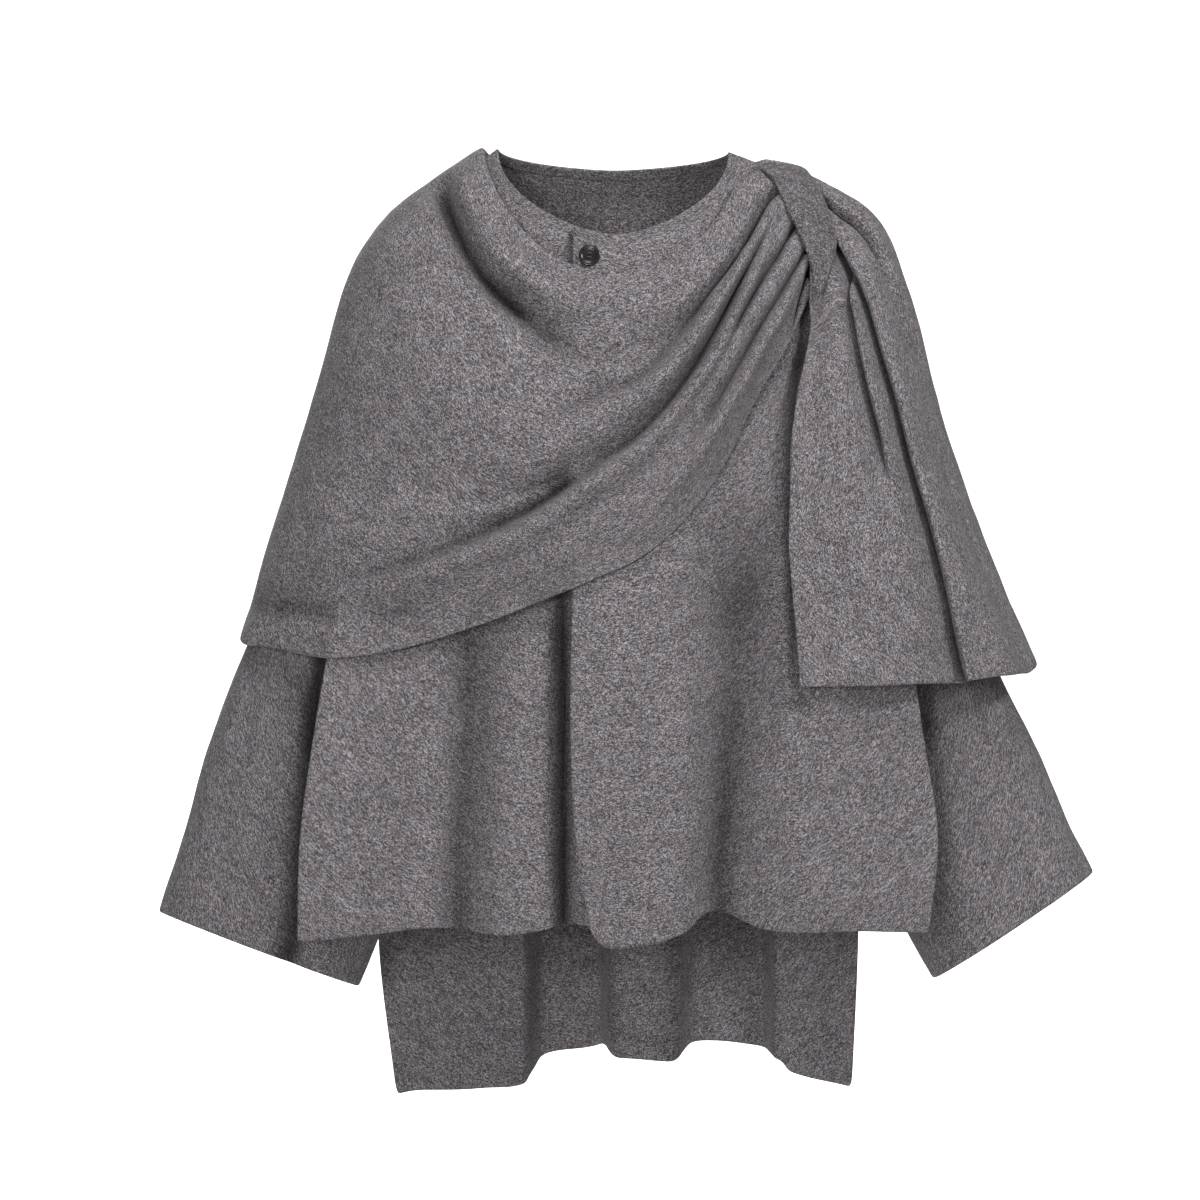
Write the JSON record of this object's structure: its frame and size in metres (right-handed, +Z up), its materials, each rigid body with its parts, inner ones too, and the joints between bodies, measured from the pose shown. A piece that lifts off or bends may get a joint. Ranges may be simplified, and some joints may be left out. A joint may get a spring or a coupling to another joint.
{
  "type": "knitted poncho sweater",
  "caption": "Open-front knitted poncho cardigan in grey heather, filled out as worn, with a shawl gathered under a shoulder loop, wide sleeves, a longer back and one button at the neck.",
  "frame": {"origin": "midway between the two neck-side shoulder points, where the garment is held up", "axes": "+X to the wearer's left, +Y to the wearer's back, +Z up"},
  "size_m": [0.7534, 0.3148, 0.7762],
  "materials": {
    "knit": "matte",
    "knit_trim": "matte",
    "knit_strap": "matte",
    "button": "gloss"
  },
  "bodies": {
    "root": {"back": "knit", "front_left": "knit", "front_right": "knit", "sleeve_left": "knit", "sleeve_right": "knit", "neckband": "knit_trim", "shawl_front": "knit", "shawl_back": "knit", "shawl_tail": "knit", "strap": "knit_strap", "button": "button"}
  },
  "joints": []
}
